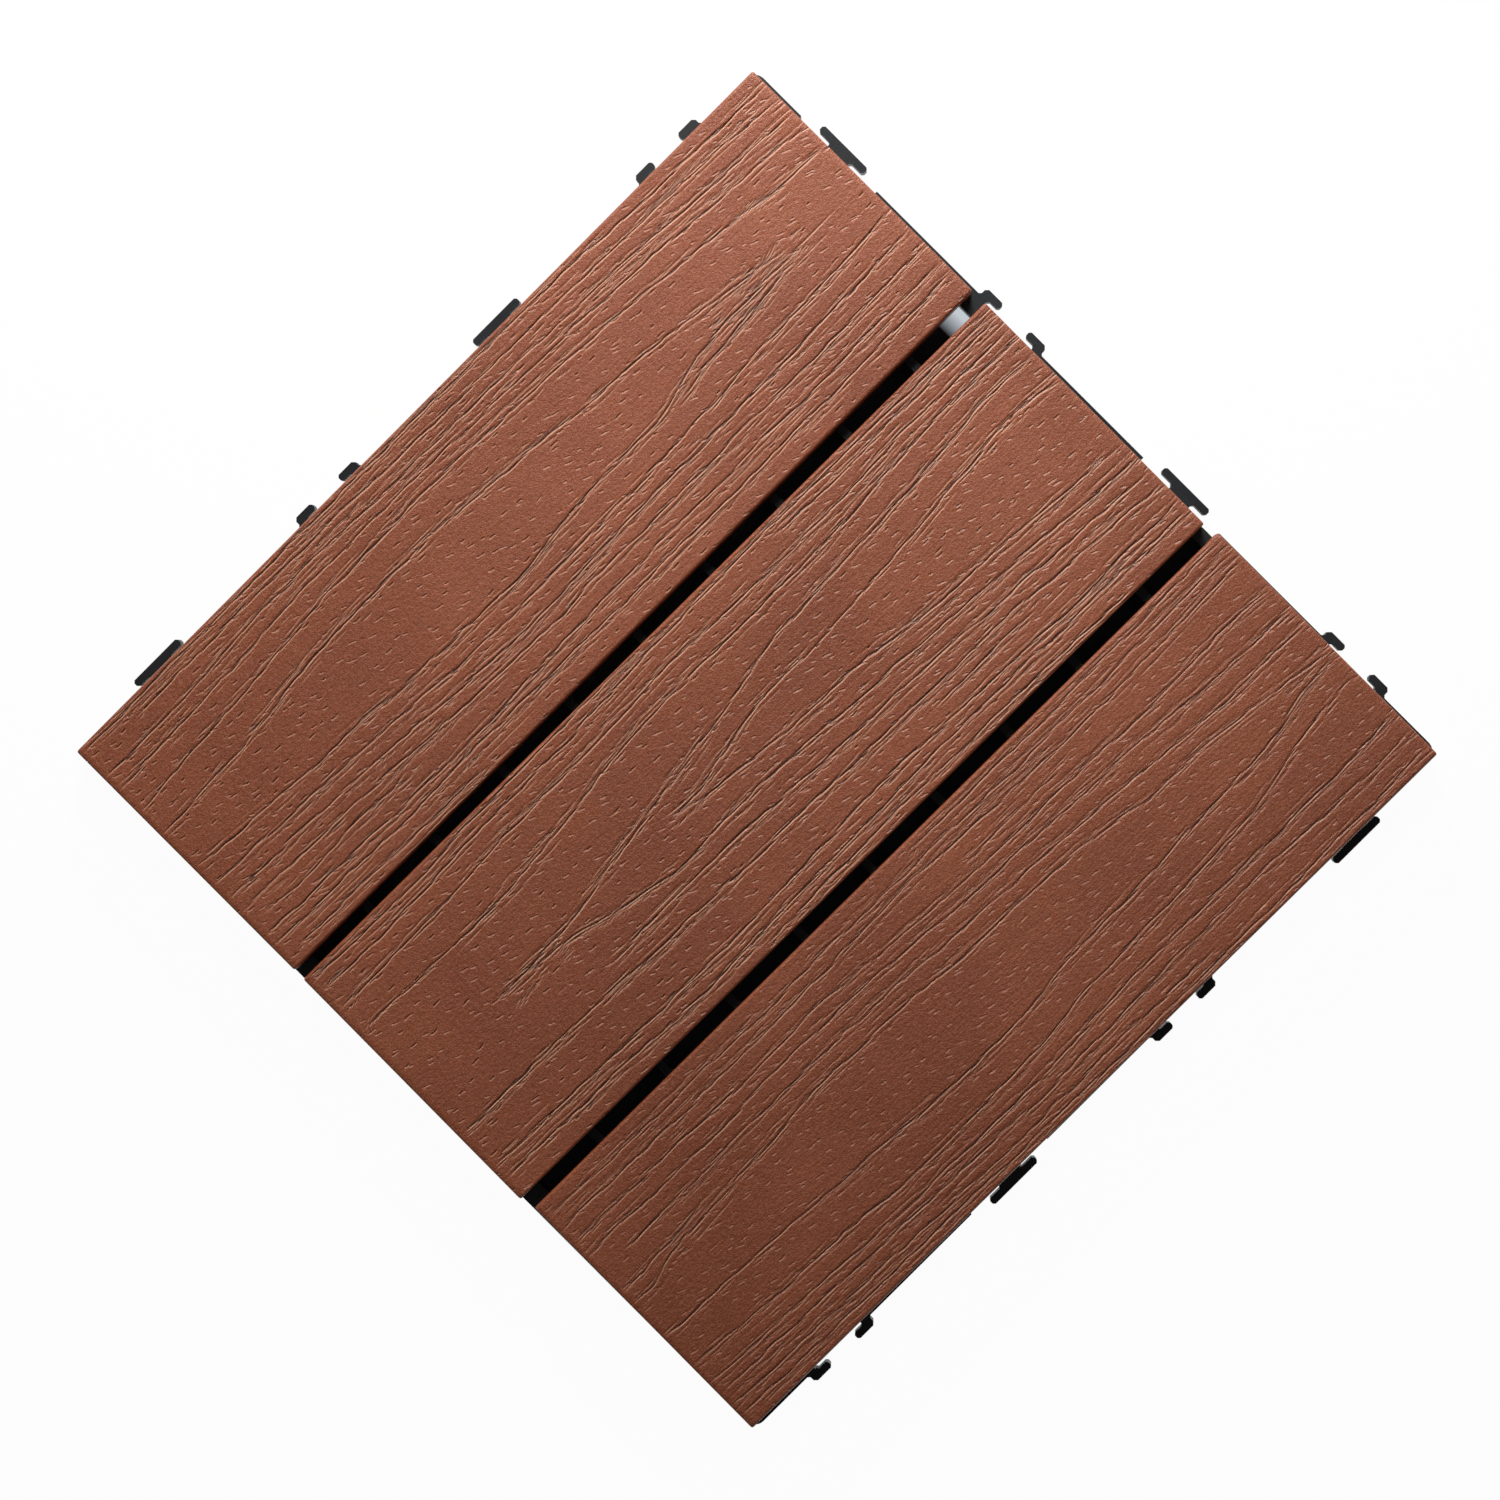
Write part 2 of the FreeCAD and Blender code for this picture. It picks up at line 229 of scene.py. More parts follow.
class Nodes:
    """Short way to build a node material."""

    def __init__(self, name):
        self.material = bpy.data.materials.new(name)
        self.material.use_nodes = True
        self.tree = self.material.node_tree
        self.tree.nodes.clear()

    def add(self, kind, inputs=None, **settings):
        node = self.tree.nodes.new(kind)
        for key, value in settings.items():
            setattr(node, key, value)
        for key, value in (inputs or {}).items():
            if isinstance(value, bpy.types.NodeSocket):
                self.tree.links.new(value, node.inputs[key])
            else:
                node.inputs[key].default_value = value
        return node

    def math(self, operation, a, b=0.0):
        return self.add("ShaderNodeMath", {0: a, 1: b}, operation=operation).outputs[0]

    def noise(self, vector, scale, detail=2.0, roughness=0.5):
        node = self.add("ShaderNodeTexNoise", {"Vector": vector, "Scale": scale, "Detail": detail,
                                               "Roughness": roughness})
        return node.outputs["Fac"]

    def span(self, value, low, high, out_low=0.0, out_high=1.0):
        node = self.add("ShaderNodeMapRange", {"Value": value, "From Min": low, "From Max": high,
                                               "To Min": out_low, "To Max": out_high})
        return node.outputs["Result"]

    def blend(self, factor, a, b):
        # The colour sockets of a Mix node are its inputs 6 and 7 and its output 2
        return self.add("ShaderNodeMix", {0: factor, 6: a, 7: b}, data_type="RGBA").outputs[2]

    def stretched(self, vector, scale):
        node = self.add("ShaderNodeMapping", {"Vector": vector, "Scale": scale})
        return node.outputs["Vector"]

    def bump(self, height, distance):
        node = self.add("ShaderNodeBump", {"Height": height, "Distance": distance})
        return node.outputs["Normal"]

    def finish(self, shader):
        self.add("ShaderNodeOutputMaterial", {"Surface": shader})
        return self.material


# ---------- materials ----------

def pore_layer(n, x, y, cell_size, seed):
    """Depth of short slanting pores, at most one in each cell of a loose pattern, and a painted
    highlight band beside each.
    """
    step_x, step_y = cell_size
    column = n.math("FLOOR", n.math("DIVIDE", x, step_x))
    column_seed = {"W": n.math("ADD", column, seed)}
    column_chance = n.add("ShaderNodeTexWhiteNoise", column_seed, noise_dimensions="1D")
    stagger = n.math("MULTIPLY", column_chance.outputs["Value"], step_y)
    row = n.math("FLOOR", n.math("DIVIDE", n.math("ADD", y, stagger), step_y))
    cell = n.add("ShaderNodeCombineXYZ", {0: column, 1: row, 2: seed}).outputs[0]
    chance = n.add("ShaderNodeTexWhiteNoise", {"Vector": cell}, noise_dimensions="3D")
    parts = n.add("ShaderNodeSeparateXYZ", {0: chance.outputs["Color"]}).outputs
    local_x = n.math("SUBTRACT", x, n.math("MULTIPLY", n.math("ADD", column, 0.5), step_x))
    row_middle = n.math("MULTIPLY", n.math("ADD", row, 0.5), step_y)
    local_y = n.math("SUBTRACT", n.math("ADD", y, stagger), row_middle)
    local_y = n.math("SUBTRACT", local_y, n.span(parts[0], 0.0, 1.0, -0.30 * step_y, 0.30 * step_y))
    slope = n.span(parts[1], 0.0, 1.0, -0.42, 0.06)
    curve = n.span(parts[2], 0.0, 1.0, -90.0, 90.0)
    bow = n.math("MULTIPLY", n.math("MULTIPLY", local_x, local_x), curve)
    local_y = n.math("SUBTRACT", local_y, n.math("MULTIPLY", local_x, slope))
    local_y = n.math("SUBTRACT", local_y, bow)
    half = n.span(chance.outputs["Value"], EMPTY_SHARE, 1.0, 0.0007, 0.0019)
    present = n.math("GREATER_THAN", chance.outputs["Value"], EMPTY_SHARE)
    present = n.math("MULTIPLY", present, n.span(parts[1], 0.0, 1.0, 0.5, 1.0))
    reach = n.span(n.math("DIVIDE", n.math("ABSOLUTE", local_x), half), 0.50, 1.0, 1.0, 0.0)
    reach = n.math("MULTIPLY", reach, present)
    above = n.span(local_y, 0.0, 0.00022, 1.0, 0.0)
    below = n.span(local_y, -0.00050, 0.0, 0.0, 1.0)
    outer = n.span(local_y, -0.00070, -0.00050, 0.0, 1.0)
    inner = n.span(local_y, -0.00045, -0.00025, 1.0, 0.0)
    depth = n.math("MULTIPLY", n.math("MULTIPLY", above, below), reach)
    return depth, n.math("MULTIPLY", n.math("MULTIPLY", outer, inner), reach)


def board_material():
    """Matt composite: painted shade in grooves and pores, painted highlights beside them, streaks
    and grit.
    """
    n = Nodes("composite_board")
    place = n.add("ShaderNodeTexCoord").outputs["Object"]
    groove = n.add("ShaderNodeAttribute", attribute_name="groove").outputs["Fac"]
    painted_highlight = n.add("ShaderNodeAttribute", attribute_name="painted_highlight").outputs["Fac"]
    axes = n.add("ShaderNodeSeparateXYZ", {0: place}).outputs
    surface = n.add("ShaderNodeNewGeometry").outputs
    facing = n.add("ShaderNodeSeparateXYZ", {0: surface["Normal"]}).outputs
    top = n.span(facing[2], 0.6, 0.8)
    long_pores, long_pore_highlights = pore_layer(n, axes[0], axes[1], LONG_PORE_CELL, 3.0)
    short_pores, short_pore_highlights = pore_layer(n, axes[0], axes[1], SHORT_PORE_CELL, 8.0)
    press = n.math("MULTIPLY", top, n.span(axes[1], *RIGHT_BOARD_EDGE, RIGHT_BOARD_PORES, 1.0))
    pores = n.math("MULTIPLY", n.math("MAXIMUM", long_pores, short_pores), press)
    pore_highlights = n.math("MULTIPLY", n.math("MAXIMUM", long_pore_highlights, short_pore_highlights), press)
    cloud = n.noise(place, 14.0, 3.0, 0.55)
    streak = n.noise(n.stretched(place, (0.05, 1.0, 1.0)), 420.0, 4.0, 0.6)
    speck = n.noise(n.stretched(place, (0.5, 1.0, 1.0)), 900.0, 3.0, 0.65)
    colour = n.blend(n.span(cloud, 0.35, 0.65), (0.218, 0.050, 0.016, 1), (0.290, 0.075, 0.028, 1))
    colour = n.blend(n.span(streak, 0.35, 0.7, 0.0, 0.35), colour, (0.185, 0.042, 0.014, 1))
    colour = n.blend(n.span(speck, 0.50, 0.75, 0.0, 0.35), colour, (0.34, 0.115, 0.060, 1))
    grit = n.noise(place, 2300.0, 1.0, 0.5)
    colour = n.blend(n.span(grit, 0.30, 0.48, 0.42, 0.0), colour, (0.130, 0.030, 0.011, 1))
    colour = n.blend(n.span(grit, 0.52, 0.70, 0.0, 0.36), colour, (0.42, 0.155, 0.085, 1))
    # Painted highlight: pale colour in bands beside grooves and pores, on the side that faces the
    # lamps
    pale = n.math("MAXIMUM", n.span(painted_highlight, 0.06, 0.6, 0.0, 0.90), n.math("MULTIPLY", pore_highlights, 0.42))
    colour = n.blend(pale, colour, (0.80, 0.43, 0.27, 1))
    # Painted shade: grooves and pores turn near-black, standing for the shade inside them
    dark = n.span(pores, 0.35, 0.85, 0.0, 0.90)
    dark = n.math("MAXIMUM", n.span(groove, 0.22, 0.85, 0.0, 0.94), dark)
    colour = n.blend(dark, colour, (0.038, 0.008, 0.004, 1))
    pebble = n.noise(n.stretched(place, (0.7, 1.0, 1.0)), 1050.0, 2.0, 0.5)
    fine = n.noise(place, 3200.0, 2.0, 0.6)
    brushed = n.noise(n.stretched(place, (0.12, 1.0, 1.0)), 900.0, 3.0, 0.6)
    height = n.math("ADD", n.math("MULTIPLY", pebble, 0.55), n.math("MULTIPLY", fine, 0.50))
    height = n.math("ADD", height, n.math("MULTIPLY", brushed, 0.35))
    height = n.math("SUBTRACT", height, n.math("MULTIPLY", pores, 1.15))
    normal = n.bump(height, 0.00036)
    rough = n.span(streak, 0.3, 0.7, 0.37, 0.46)
    shader = n.add("ShaderNodeBsdfPrincipled", {"Base Color": colour, "Roughness": rough,
                                                "Normal": normal, "Specular IOR Level": 0.5})
    return n.finish(shader.outputs[0])


def plastic_material():
    """Black moulded plastic with a fine grain and a little dust."""
    n = Nodes("base_plastic")
    place = n.add("ShaderNodeTexCoord").outputs["Object"]
    cloud = n.noise(place, 35.0, 3.0, 0.6)
    grain = n.noise(place, 2600.0, 2.0, 0.6)
    dust = n.noise(place, 160.0, 5.0, 0.7)
    colour = n.blend(n.span(cloud, 0.3, 0.7), (0.005, 0.007, 0.009, 1), (0.009, 0.011, 0.013, 1))
    colour = n.blend(n.span(dust, 0.58, 0.8, 0.0, 0.3), colour, (0.030, 0.031, 0.033, 1))
    rough = n.span(cloud, 0.3, 0.7, 0.38, 0.50)
    normal = n.bump(grain, 0.00003)
    shader = n.add("ShaderNodeBsdfPrincipled", {"Base Color": colour, "Roughness": rough,
                                                "Normal": normal, "Specular IOR Level": 0.36})
    return n.finish(shader.outputs[0])


def steel_material():
    """Brushed steel of the screws."""
    n = Nodes("screw_steel")
    place = n.add("ShaderNodeTexCoord").outputs["Object"]
    cloud = n.noise(place, 400.0, 3.0, 0.6)
    scratch = n.noise(n.stretched(place, (1.0, 0.15, 1.0)), 3000.0, 2.0, 0.6)
    colour = n.blend(n.span(cloud, 0.3, 0.7), (0.46, 0.46, 0.45, 1), (0.58, 0.57, 0.55, 1))
    rough = n.span(cloud, 0.3, 0.7, 0.28, 0.42)
    normal = n.bump(scratch, 0.00001)
    shader = n.add("ShaderNodeBsdfPrincipled", {"Base Color": colour, "Metallic": 1.0,
                                                "Roughness": rough, "Normal": normal})
    return n.finish(shader.outputs[0])


def floor_material():
    """Pale floor: white to the camera outside the tile, painted dark under it as painted shade,
    with a painted glow at one gap's end, clear from below.
    """
    n = Nodes("pale_floor")
    geometry = n.add("ShaderNodeNewGeometry").outputs
    place = geometry["Position"]
    axes = n.add("ShaderNodeSeparateXYZ", {0: place}).outputs
    half = UNDER_TILE_HALF
    inside_x = n.math("LESS_THAN", n.math("ABSOLUTE", axes[0]), half)
    inside_y = n.math("LESS_THAN", n.math("ABSOLUTE", axes[1]), half)
    inside = n.math("MULTIPLY", inside_x, inside_y)
    # Painted light: a bluish glow on the floor under the tile, standing for daylight that leaks
    # under the +X rim and shows at the end of one gap
    painted_glow_x = n.span(axes[0], half - 0.014, half - 0.007, 0.0, 1.0)
    painted_glow_y = n.span(axes[1], -0.02, 0.05, 0.0, 0.66)
    painted_glow = n.math("MULTIPLY", painted_glow_x, painted_glow_y)
    shown = n.math("MAXIMUM", n.math("SUBTRACT", 1.0, inside), painted_glow)
    rays = n.add("ShaderNodeLightPath")
    seen = n.math("MAXIMUM", rays.outputs["Is Camera Ray"], rays.outputs["Is Glossy Ray"])
    seen = n.math("MAXIMUM", seen, rays.outputs["Is Transmission Ray"])
    lift = n.math("MULTIPLY", n.math("MULTIPLY", seen, shown), FLOOR_LIFT)
    speckle = n.noise(place, 300.0, 3.0, 0.5)
    colour = n.blend(n.span(speckle, 0.3, 0.7), (0.78, 0.78, 0.78, 1), (0.82, 0.82, 0.82, 1))
    # Painted shade: the floor under the tile is coloured near-black
    colour = n.blend(inside, colour, (0.08, 0.08, 0.09, 1))
    plain = n.add("ShaderNodeBsdfDiffuse", {"Color": colour}).outputs[0]
    # Bluish tint of the painted glow under the tile, white for the backdrop outside it
    backdrop_and_glow_tint = n.blend(inside, (1, 1, 1, 1), (0.86, 0.93, 1.0, 1))
    white = n.add("ShaderNodeEmission", {"Color": backdrop_and_glow_tint, "Strength": 1.0}).outputs[0]
    mix = n.add("ShaderNodeMixShader", {0: lift, 1: plain, 2: white}).outputs[0]
    clear = n.add("ShaderNodeBsdfTransparent").outputs[0]
    both = n.add("ShaderNodeMixShader", {0: geometry["Backfacing"], 1: mix, 2: clear})
    return n.finish(both.outputs[0])


# ---------- embossed boards ----------

def guide_curve(points, along):
    """Smooth line through one set of guide points, and the part of the board it covers."""
    xs = np.array([p[0] for p in points], float)
    vs = np.array([p[1] for p in points], float)
    raw = np.interp(along, xs, vs)
    kernel = np.exp(-np.linspace(-2, 2, 11) ** 2)
    kernel /= kernel.sum()
    padded = np.concatenate([np.full(5, raw[0]), raw, np.full(5, raw[-1])])
    return np.convolve(padded, kernel, "valid"), xs[0], xs[-1]


def fade_ends(along, first, last, reach, half_length):
    """1 along a line and 0 beyond its ends, except where it runs off the board."""
    start = 1.0 if first <= -half_length else np.clip((along - first) / reach, 0, 1)
    stop = 1.0 if last >= half_length else np.clip((last - along) / reach, 0, 1)
    return np.minimum(start, stop) * np.ones_like(along)


def place_rows(along, lines, flat, count, half_length):
    """Rows across the flat top for every column, closer together where a line of the grain runs."""
    fine = np.arange(-flat, flat + 0.05, 0.1)
    density = np.zeros((len(fine), len(along)))
    for curve, first, last in lines:
        near = np.exp(-((fine[:, None] - curve[None, :]) / 1.1) ** 2)
        near = near * fade_ends(along, first, last, 10.0, half_length)[None, :]
        density = np.maximum(density, near)
    total = np.cumsum(1.0 + 0.9 * density, axis=0)
    rows = np.empty((count, len(along)))
    for j in range(len(along)):
        share = (total[:, j] - total[0, j]) / (total[-1, j] - total[0, j])
        rows[:, j] = np.interp(np.linspace(0, 1, count), share, fine)
    return rows


def carve(fields, along, across, first, last, centre, width, depth):
    """Presses one groove into the depth field and marks a painted highlight band along its gentle
    side, with sizes per column.
    """
    field, painted_highlight = fields
    low, high = np.searchsorted(along, [first, last])
    if high <= low:
        return
    c, w, d = [np.broadcast_to(v, along.shape)[low:high] for v in (centre, width, depth)]
    middle = across[:, (low + high) // 2 if high < len(along) else high - 1]
    reach = 3 * w.max() + 1.2
    top, bottom = np.searchsorted(middle, [c.min() - reach, c.max() + reach])
    patch = across[top:bottom, low:high]
    steps = (patch - c[None, :]) / w[None, :]
    steps = np.where(steps > 0, steps / STEEP_SIDE, steps / GENTLE_SIDE)
    groove = d[None, :] * np.exp(-np.abs(steps) ** 2.2)
    field[top:bottom, low:high] = np.maximum(field[top:bottom, low:high], groove)
    painted_highlight_band = d[None, :] * np.exp(-((steps + 0.95) / 0.45) ** 2)
    painted_highlight[top:bottom, low:high] = np.maximum(painted_highlight[top:bottom, low:high], painted_highlight_band)


def stroke(fields, along, across, start, length, centre, rng, weight):
    """One short pore, tapered at both ends."""
    from_end = np.minimum(along - start, start + length - along)
    taper = np.clip(from_end / (0.35 * length) + 0.15, 0, 1)
    depth = STROKE_DEPTH * weight * rng.uniform(0.55, 1.2) * taper
    width = STROKE_WIDTH * rng.uniform(0.8, 1.25)
    bend = rng.uniform(-0.02, 0.02) * (along - start - length / 2) ** 2 / max(length, 6.0)
    carve(fields, along, across, start, start + length, centre + bend, width, depth)


def long_groove(fields, along, across, curve, first, last, rng, depth, width, half_length):
    """One long groove: a wobbly shallow line, and deeper strands that overlap along it."""
    centre = curve + 0.30 * wavy(rng, along, 8.0) + 0.14 * np.tanh(5 * wavy(rng, along, 3.6))
    widths = width * (1 + 0.25 * wavy(rng, along, 5.0))
    whole = fade_ends(along, first, last, 6.0, half_length)
    depths = 0.58 * depth * (0.85 + 0.4 * wavy(rng, along, 7.0)) * whole
    depths = depths * np.where(wavy(rng, along, 3.8) < -0.55, 0.25, 1.0)
    carve(fields, along, across, first, last, centre, widths, depths)
    start = first + rng.uniform(-6, 2)
    while start < last:
        length = rng.uniform(5, 17)
        middle = start + length / 2
        lean = rng.uniform(-0.040, 0.012)
        strand = centre + rng.uniform(-0.38, 0.38) + lean * (along - middle)
        taper = np.clip((length / 2 - np.abs(along - middle)) / 2.2, 0, 1)
        strength = depth * rng.uniform(0.75, 1.2) * taper * whole
        carve(fields, along, across, start, start + length, strand,
              width * rng.uniform(0.8, 1.2), strength)
        start += length - rng.uniform(1.5, 5.0)


def grain_field(along, across, lines, patches, half_length, rng):
    """Depth of the embossed grain and strength of its painted highlight bands at every grid point,
    in mm.
    """
    fields = (np.zeros_like(across), np.zeros_like(across))
    edge = across[-1, 0]
    for curve, first, last in lines:
        outer = 1 if curve.mean() > 0 else -1
        long_groove(fields, along, across, curve, first, last, rng, LINE_DEPTH, LINE_WIDTH,
                    half_length)
        for _ in range(max(1, int((last - first) / 24))):
            start = rng.uniform(first - 10, last - 10)
            stop = min(start + rng.uniform(20, 60), last)
            beside = curve + (outer if rng.uniform() < 0.75 else -outer) * rng.uniform(0.8, 2.2)
            long_groove(fields, along, across, beside, max(start, first), stop, rng,
                        0.62 * LINE_DEPTH, 0.80 * LINE_WIDTH, half_length)
        for _ in range(int((last - first) / 3.6)):
            side = outer if rng.uniform() < 0.8 else -outer
            offset = side * rng.uniform(0.7, 1.0 + 1.8 * rng.uniform())
            lean = rng.uniform(-0.12, 0.05)
            start = rng.uniform(first, last)
            centre = curve + offset + lean * (along - start)
            stroke(fields, along, across, start, rng.uniform(2.5, 9), centre, rng, 1.0)
    for _ in range(len(lines) * 6):
        curve, first, last = lines[rng.integers(len(lines))]
        start = rng.uniform(first, last)
        stroke(fields, along, across, start, rng.uniform(10, 34), curve + rng.uniform(-3, 3),
               rng, 0.8)
    for _ in range(60):
        start = rng.uniform(-half_length, half_length)
        slope = rng.uniform(-0.30, -0.04)
        place = rng.uniform(-edge, edge)
        centre = place + slope * (along - start)
        stroke(fields, along, across, start, rng.uniform(2.0, 4.6), centre, rng, 0.95)
    for x0, x1, v0, v1, count in patches:
        for _ in range(count):
            start = rng.uniform(x0, x1)
            slope = rng.uniform(-0.4, 0.1)
            place = rng.uniform(v0, v1)
            centre = place + slope * (along - start)
            stroke(fields, along, across, start, rng.uniform(2.5, 7), centre, rng, 1.15)
    return fields


def board_section(half_width, thickness, top_rows):
    """Points and outward normals round a board's section in mm, from below up the -Y side."""
    points = []

    def arc(cy, cz, radius, first, last, count):
        for a in np.radians(np.linspace(first, last, count)):
            ny, nz = math.cos(a), math.sin(a)
            points.append((cy + radius * ny, cz + radius * nz, ny, nz))

    side = half_width
    flat = half_width - TOP_RADIUS
    for y in np.linspace(0, -side + BOTTOM_RADIUS, 7)[:-1]:
        points.append((y, 0, 0, -1))
    arc(-side + BOTTOM_RADIUS, BOTTOM_RADIUS, BOTTOM_RADIUS, 270, 180, 4)
    for z in np.linspace(BOTTOM_RADIUS, thickness - TOP_RADIUS, 5)[1:-1]:
        points.append((-side, z, -1, 0))
    arc(-flat, thickness - TOP_RADIUS, TOP_RADIUS, 180, 90, 9)
    first_flat = len(points) - 1
    for y in np.linspace(-flat, flat, top_rows)[1:-1]:
        points.append((y, thickness, 0, 1))
    last_flat = len(points)
    arc(flat, thickness - TOP_RADIUS, TOP_RADIUS, 90, 0, 9)
    for z in np.linspace(thickness - TOP_RADIUS, BOTTOM_RADIUS, 5)[1:-1]:
        points.append((side, z, 1, 0))
    arc(side - BOTTOM_RADIUS, BOTTOM_RADIUS, BOTTOM_RADIUS, 0, -90, 4)
    for y in np.linspace(side - BOTTOM_RADIUS, 0, 7)[1:-1]:
        points.append((y, 0, 0, -1))
    return np.array(points), first_flat, last_flat


def make_board(node, guides, patches, relief, ends, turn, shift, seed, material):
    """One embossed board in place of its CAD node."""
    low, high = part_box(node)
    low, high = np.array(low) / MM, np.array(high) / MM
    size = high - low
    centre = (low + high) / 2
    half_length = size[0] / 2
    section, first_flat, last_flat = board_section(size[1] / 2, size[2], TOP_ROWS)
    rng = np.random.default_rng(seed)
    start, end = ends
    inner = np.linspace(start + END_RADIUS, end - END_RADIUS, COLUMNS)
    round_steps = np.radians([0, 45, 90])
    lead = (start + END_RADIUS * (1 - np.sin(round_steps)))[::-1]
    tail = end - END_RADIUS * (1 - np.sin(round_steps))
    inset = END_RADIUS * (1 - np.cos(round_steps))
    along = np.concatenate([lead[:-1], inner, tail[1:]])
    shrink = np.concatenate([inset[::-1][:-1], np.zeros(len(inner)), inset[1:]])
    steps = np.hypot(np.diff(section[:, 0]), np.diff(section[:, 1]))
    run = np.concatenate([[0], np.cumsum(steps)])
    run -= (run[first_flat] + run[last_flat]) / 2
    across = np.repeat(run[:, None], len(along), axis=1)
    lines = [guide_curve(points, along) for points in guides]
    rows = place_rows(along, lines, size[1] / 2 - TOP_RADIUS, TOP_ROWS, half_length)
    across[first_flat:last_flat + 1] = rows
    field, painted_highlight = grain_field(along, across, lines, patches, half_length, rng)
    edge_fade = np.clip(size[1] / 2 + 0.4 - np.abs(across), 0, 1)
    field *= edge_fade * relief
    painted_highlight *= edge_fade * relief ** 2
    push = field + shrink[None, :]
    place_y = np.repeat(section[:, 0][:, None], len(along), axis=1)
    place_y[first_flat:last_flat + 1] = rows
    ys = place_y - section[:, 2][:, None] * push
    zs = section[:, 1][:, None] - section[:, 3][:, None] * push
    xs = np.broadcast_to(along[None, :], field.shape)
    turned_x = xs - turn * ys
    turned_y = ys + turn * xs
    verts = np.stack([turned_x + centre[0], turned_y + centre[1] + shift, zs + low[2]], axis=2)
    count, columns = field.shape
    index = np.arange(count * columns).reshape(count, columns)
    following = np.roll(index, -1, axis=0)
    quads = np.stack([index[:, :-1], index[:, 1:], following[:, 1:], following[:, :-1]], axis=2)
    faces = quads.reshape(-1, 4).tolist()
    faces.append(index[:, 0].tolist())
    faces.append(index[:, -1].tolist()[::-1])
    board = mesh_object("plank_" + node, verts.reshape(-1, 3) * MM, faces, material)
    # The groove depth darkens the colour as painted shade, and the band beside it lightens the
    # colour as a painted highlight
    for name, values in (("groove", field), ("painted_highlight", np.clip(painted_highlight - 0.5 * field, 0, None))):
        attribute = board.data.attributes.new(name, "FLOAT", "POINT")
        shares = np.clip(values / LINE_DEPTH, 0, 1).reshape(-1).astype(np.float32)
        attribute.data.foreach_set("value", shares)
    for face in board.data.polygons[-2:]:
        face.use_smooth = False
    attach(board, "root")
    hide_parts(node)


# ---------- moulded base ----------

def make_base(material):
    """The moulding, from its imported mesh, with its sharp edges eased."""
    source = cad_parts["base_grid"].data
    work = bmesh.new()
    work.from_mesh(source)
    bmesh.ops.remove_doubles(work, verts=work.verts, dist=2e-6)
    bmesh.ops.dissolve_limit(work, angle_limit=math.radians(1.5), verts=work.verts,
                             edges=work.edges)
    sharp = [e for e in work.edges if e.is_manifold and e.calc_face_angle(0) > math.radians(35)]
    bmesh.ops.bevel(work, geom=sharp, offset=BASE_EASE, offset_type="OFFSET", segments=1,
                    profile=0.5, affect="EDGES", clamp_overlap=True)
    bmesh.ops.triangulate(work, faces=work.faces)
    mesh = bpy.data.meshes.new("moulded_base")
    work.to_mesh(mesh)
    work.free()
    mesh.materials.clear()
    mesh.materials.append(material)
    base = bpy.data.objects.new("moulded_base", mesh)
    bpy.context.scene.collection.objects.link(base)
    mesh.polygons.foreach_set("use_smooth", [False] * len(mesh.polygons))
    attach(base, "root")
    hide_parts("base_grid")


# ---------- screws ----------

def screw_body(length):
    """Pan head with its face at z = 0 and a threaded point upwards, as one closed mesh in mm."""
    around = 28
    tip = HEAD_HEIGHT + length
    head = [(0.62 * HEAD_RADIUS, 0.0), (0.84 * HEAD_RADIUS, 0.07), (0.95 * HEAD_RADIUS, 0.28),
            (HEAD_RADIUS, 0.75), (HEAD_RADIUS, HEAD_HEIGHT - 0.12),
            (0.96 * HEAD_RADIUS, HEAD_HEIGHT)]
    rings = [[(r, z)] * around for r, z in head]
    neck = HEAD_HEIGHT + 0.6
    for z in np.linspace(HEAD_HEIGHT, tip, int(length / 0.26)):
        taper = min(1.0, 0.12 + (tip - z) / 2.6)
        ring = []
        for k in range(around):
            phase = ((z - neck) / THREAD_PITCH - k / around) % 1.0
            painted_highlight_band = max(0.0, 1 - abs(phase - 0.5) / 0.26) if z > neck else 0.45
            ring.append((taper * (THREAD_CORE + (SHANK_RADIUS - THREAD_CORE) * painted_highlight_band), z))
        rings.append(ring)
    verts = [(0, 0, 0)]
    for ring in rings:
        for k, (r, z) in enumerate(ring):
            angle = 2 * math.pi * k / around
            verts.append((r * math.cos(angle), r * math.sin(angle), z))
    verts.append((0, 0, tip))
    faces = []
    for k in range(around):
        after = (k + 1) % around
        faces.append((0, 1 + after, 1 + k))
        for i in range(len(rings) - 1):
            a, b = 1 + i * around, 1 + (i + 1) * around
            faces.append((a + k, a + after, b + after, b + k))
        last = 1 + (len(rings) - 1) * around
        faces.append((last + k, last + after, len(verts) - 1))
    return verts, faces


def cross_cutter():
    """Tapered cross for the driver recess."""
    work = bmesh.new()
    wide, slim = RECESS_REACH, RECESS_HALF_SLOT
    quarter = [(wide, slim), (slim, slim), (slim, wide)]
    outline = []
    for _ in range(4):
        outline += quarter
        quarter = [(-y, x) for x, y in quarter]
    mouth = [work.verts.new((1.04 * x, 1.04 * y, -0.2)) for x, y in outline]
    floor = [work.verts.new((0.62 * x, 0.62 * y, RECESS_DEPTH)) for x, y in outline]
    work.faces.new(mouth[::-1])
    work.faces.new(floor)
    for i in range(len(outline)):
        j = (i + 1) % len(outline)
        work.faces.new((mouth[i], mouth[j], floor[j], floor[i]))
    bmesh.ops.recalc_face_normals(work, faces=work.faces)
    mesh = bpy.data.meshes.new("cutter")
    work.to_mesh(mesh)
    work.free()
    return bpy.data.objects.new("cutter", mesh)


